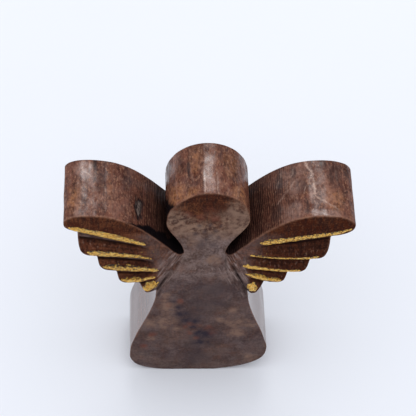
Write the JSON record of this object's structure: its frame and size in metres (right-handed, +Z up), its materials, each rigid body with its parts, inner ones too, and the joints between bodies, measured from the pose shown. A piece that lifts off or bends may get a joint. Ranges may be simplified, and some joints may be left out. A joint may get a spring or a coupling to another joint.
{
  "type": "carved figurine",
  "caption": "Free-standing carved wooden angel with a dished blank face, a bell-shaped skirt and spread feathered wings edged in gold.",
  "frame": {"origin": "centre of the flat underside", "axes": "+Z up, the carved front faces -Y, +X towards the wing on the viewer's right"},
  "size_m": [0.1, 0.0255, 0.1015],
  "materials": {
    "stained_wood": "walnut-brown stain under a satin to gloss lacquer",
    "gold_leaf": "rough hand-brushed gold"
  },
  "bodies": {
    "root": {"carved_wooden_figure": "stained_wood", "left_feather_1_gilding": "gold_leaf", "left_feather_2_gilding": "gold_leaf", "left_feather_3_gilding": "gold_leaf", "left_feather_4_gilding": "gold_leaf", "left_feather_5_gilding": "gold_leaf", "right_feather_1_gilding": "gold_leaf", "right_feather_2_gilding": "gold_leaf", "right_feather_3_gilding": "gold_leaf", "right_feather_4_gilding": "gold_leaf", "right_feather_5_gilding": "gold_leaf"}
  },
  "joints": []
}
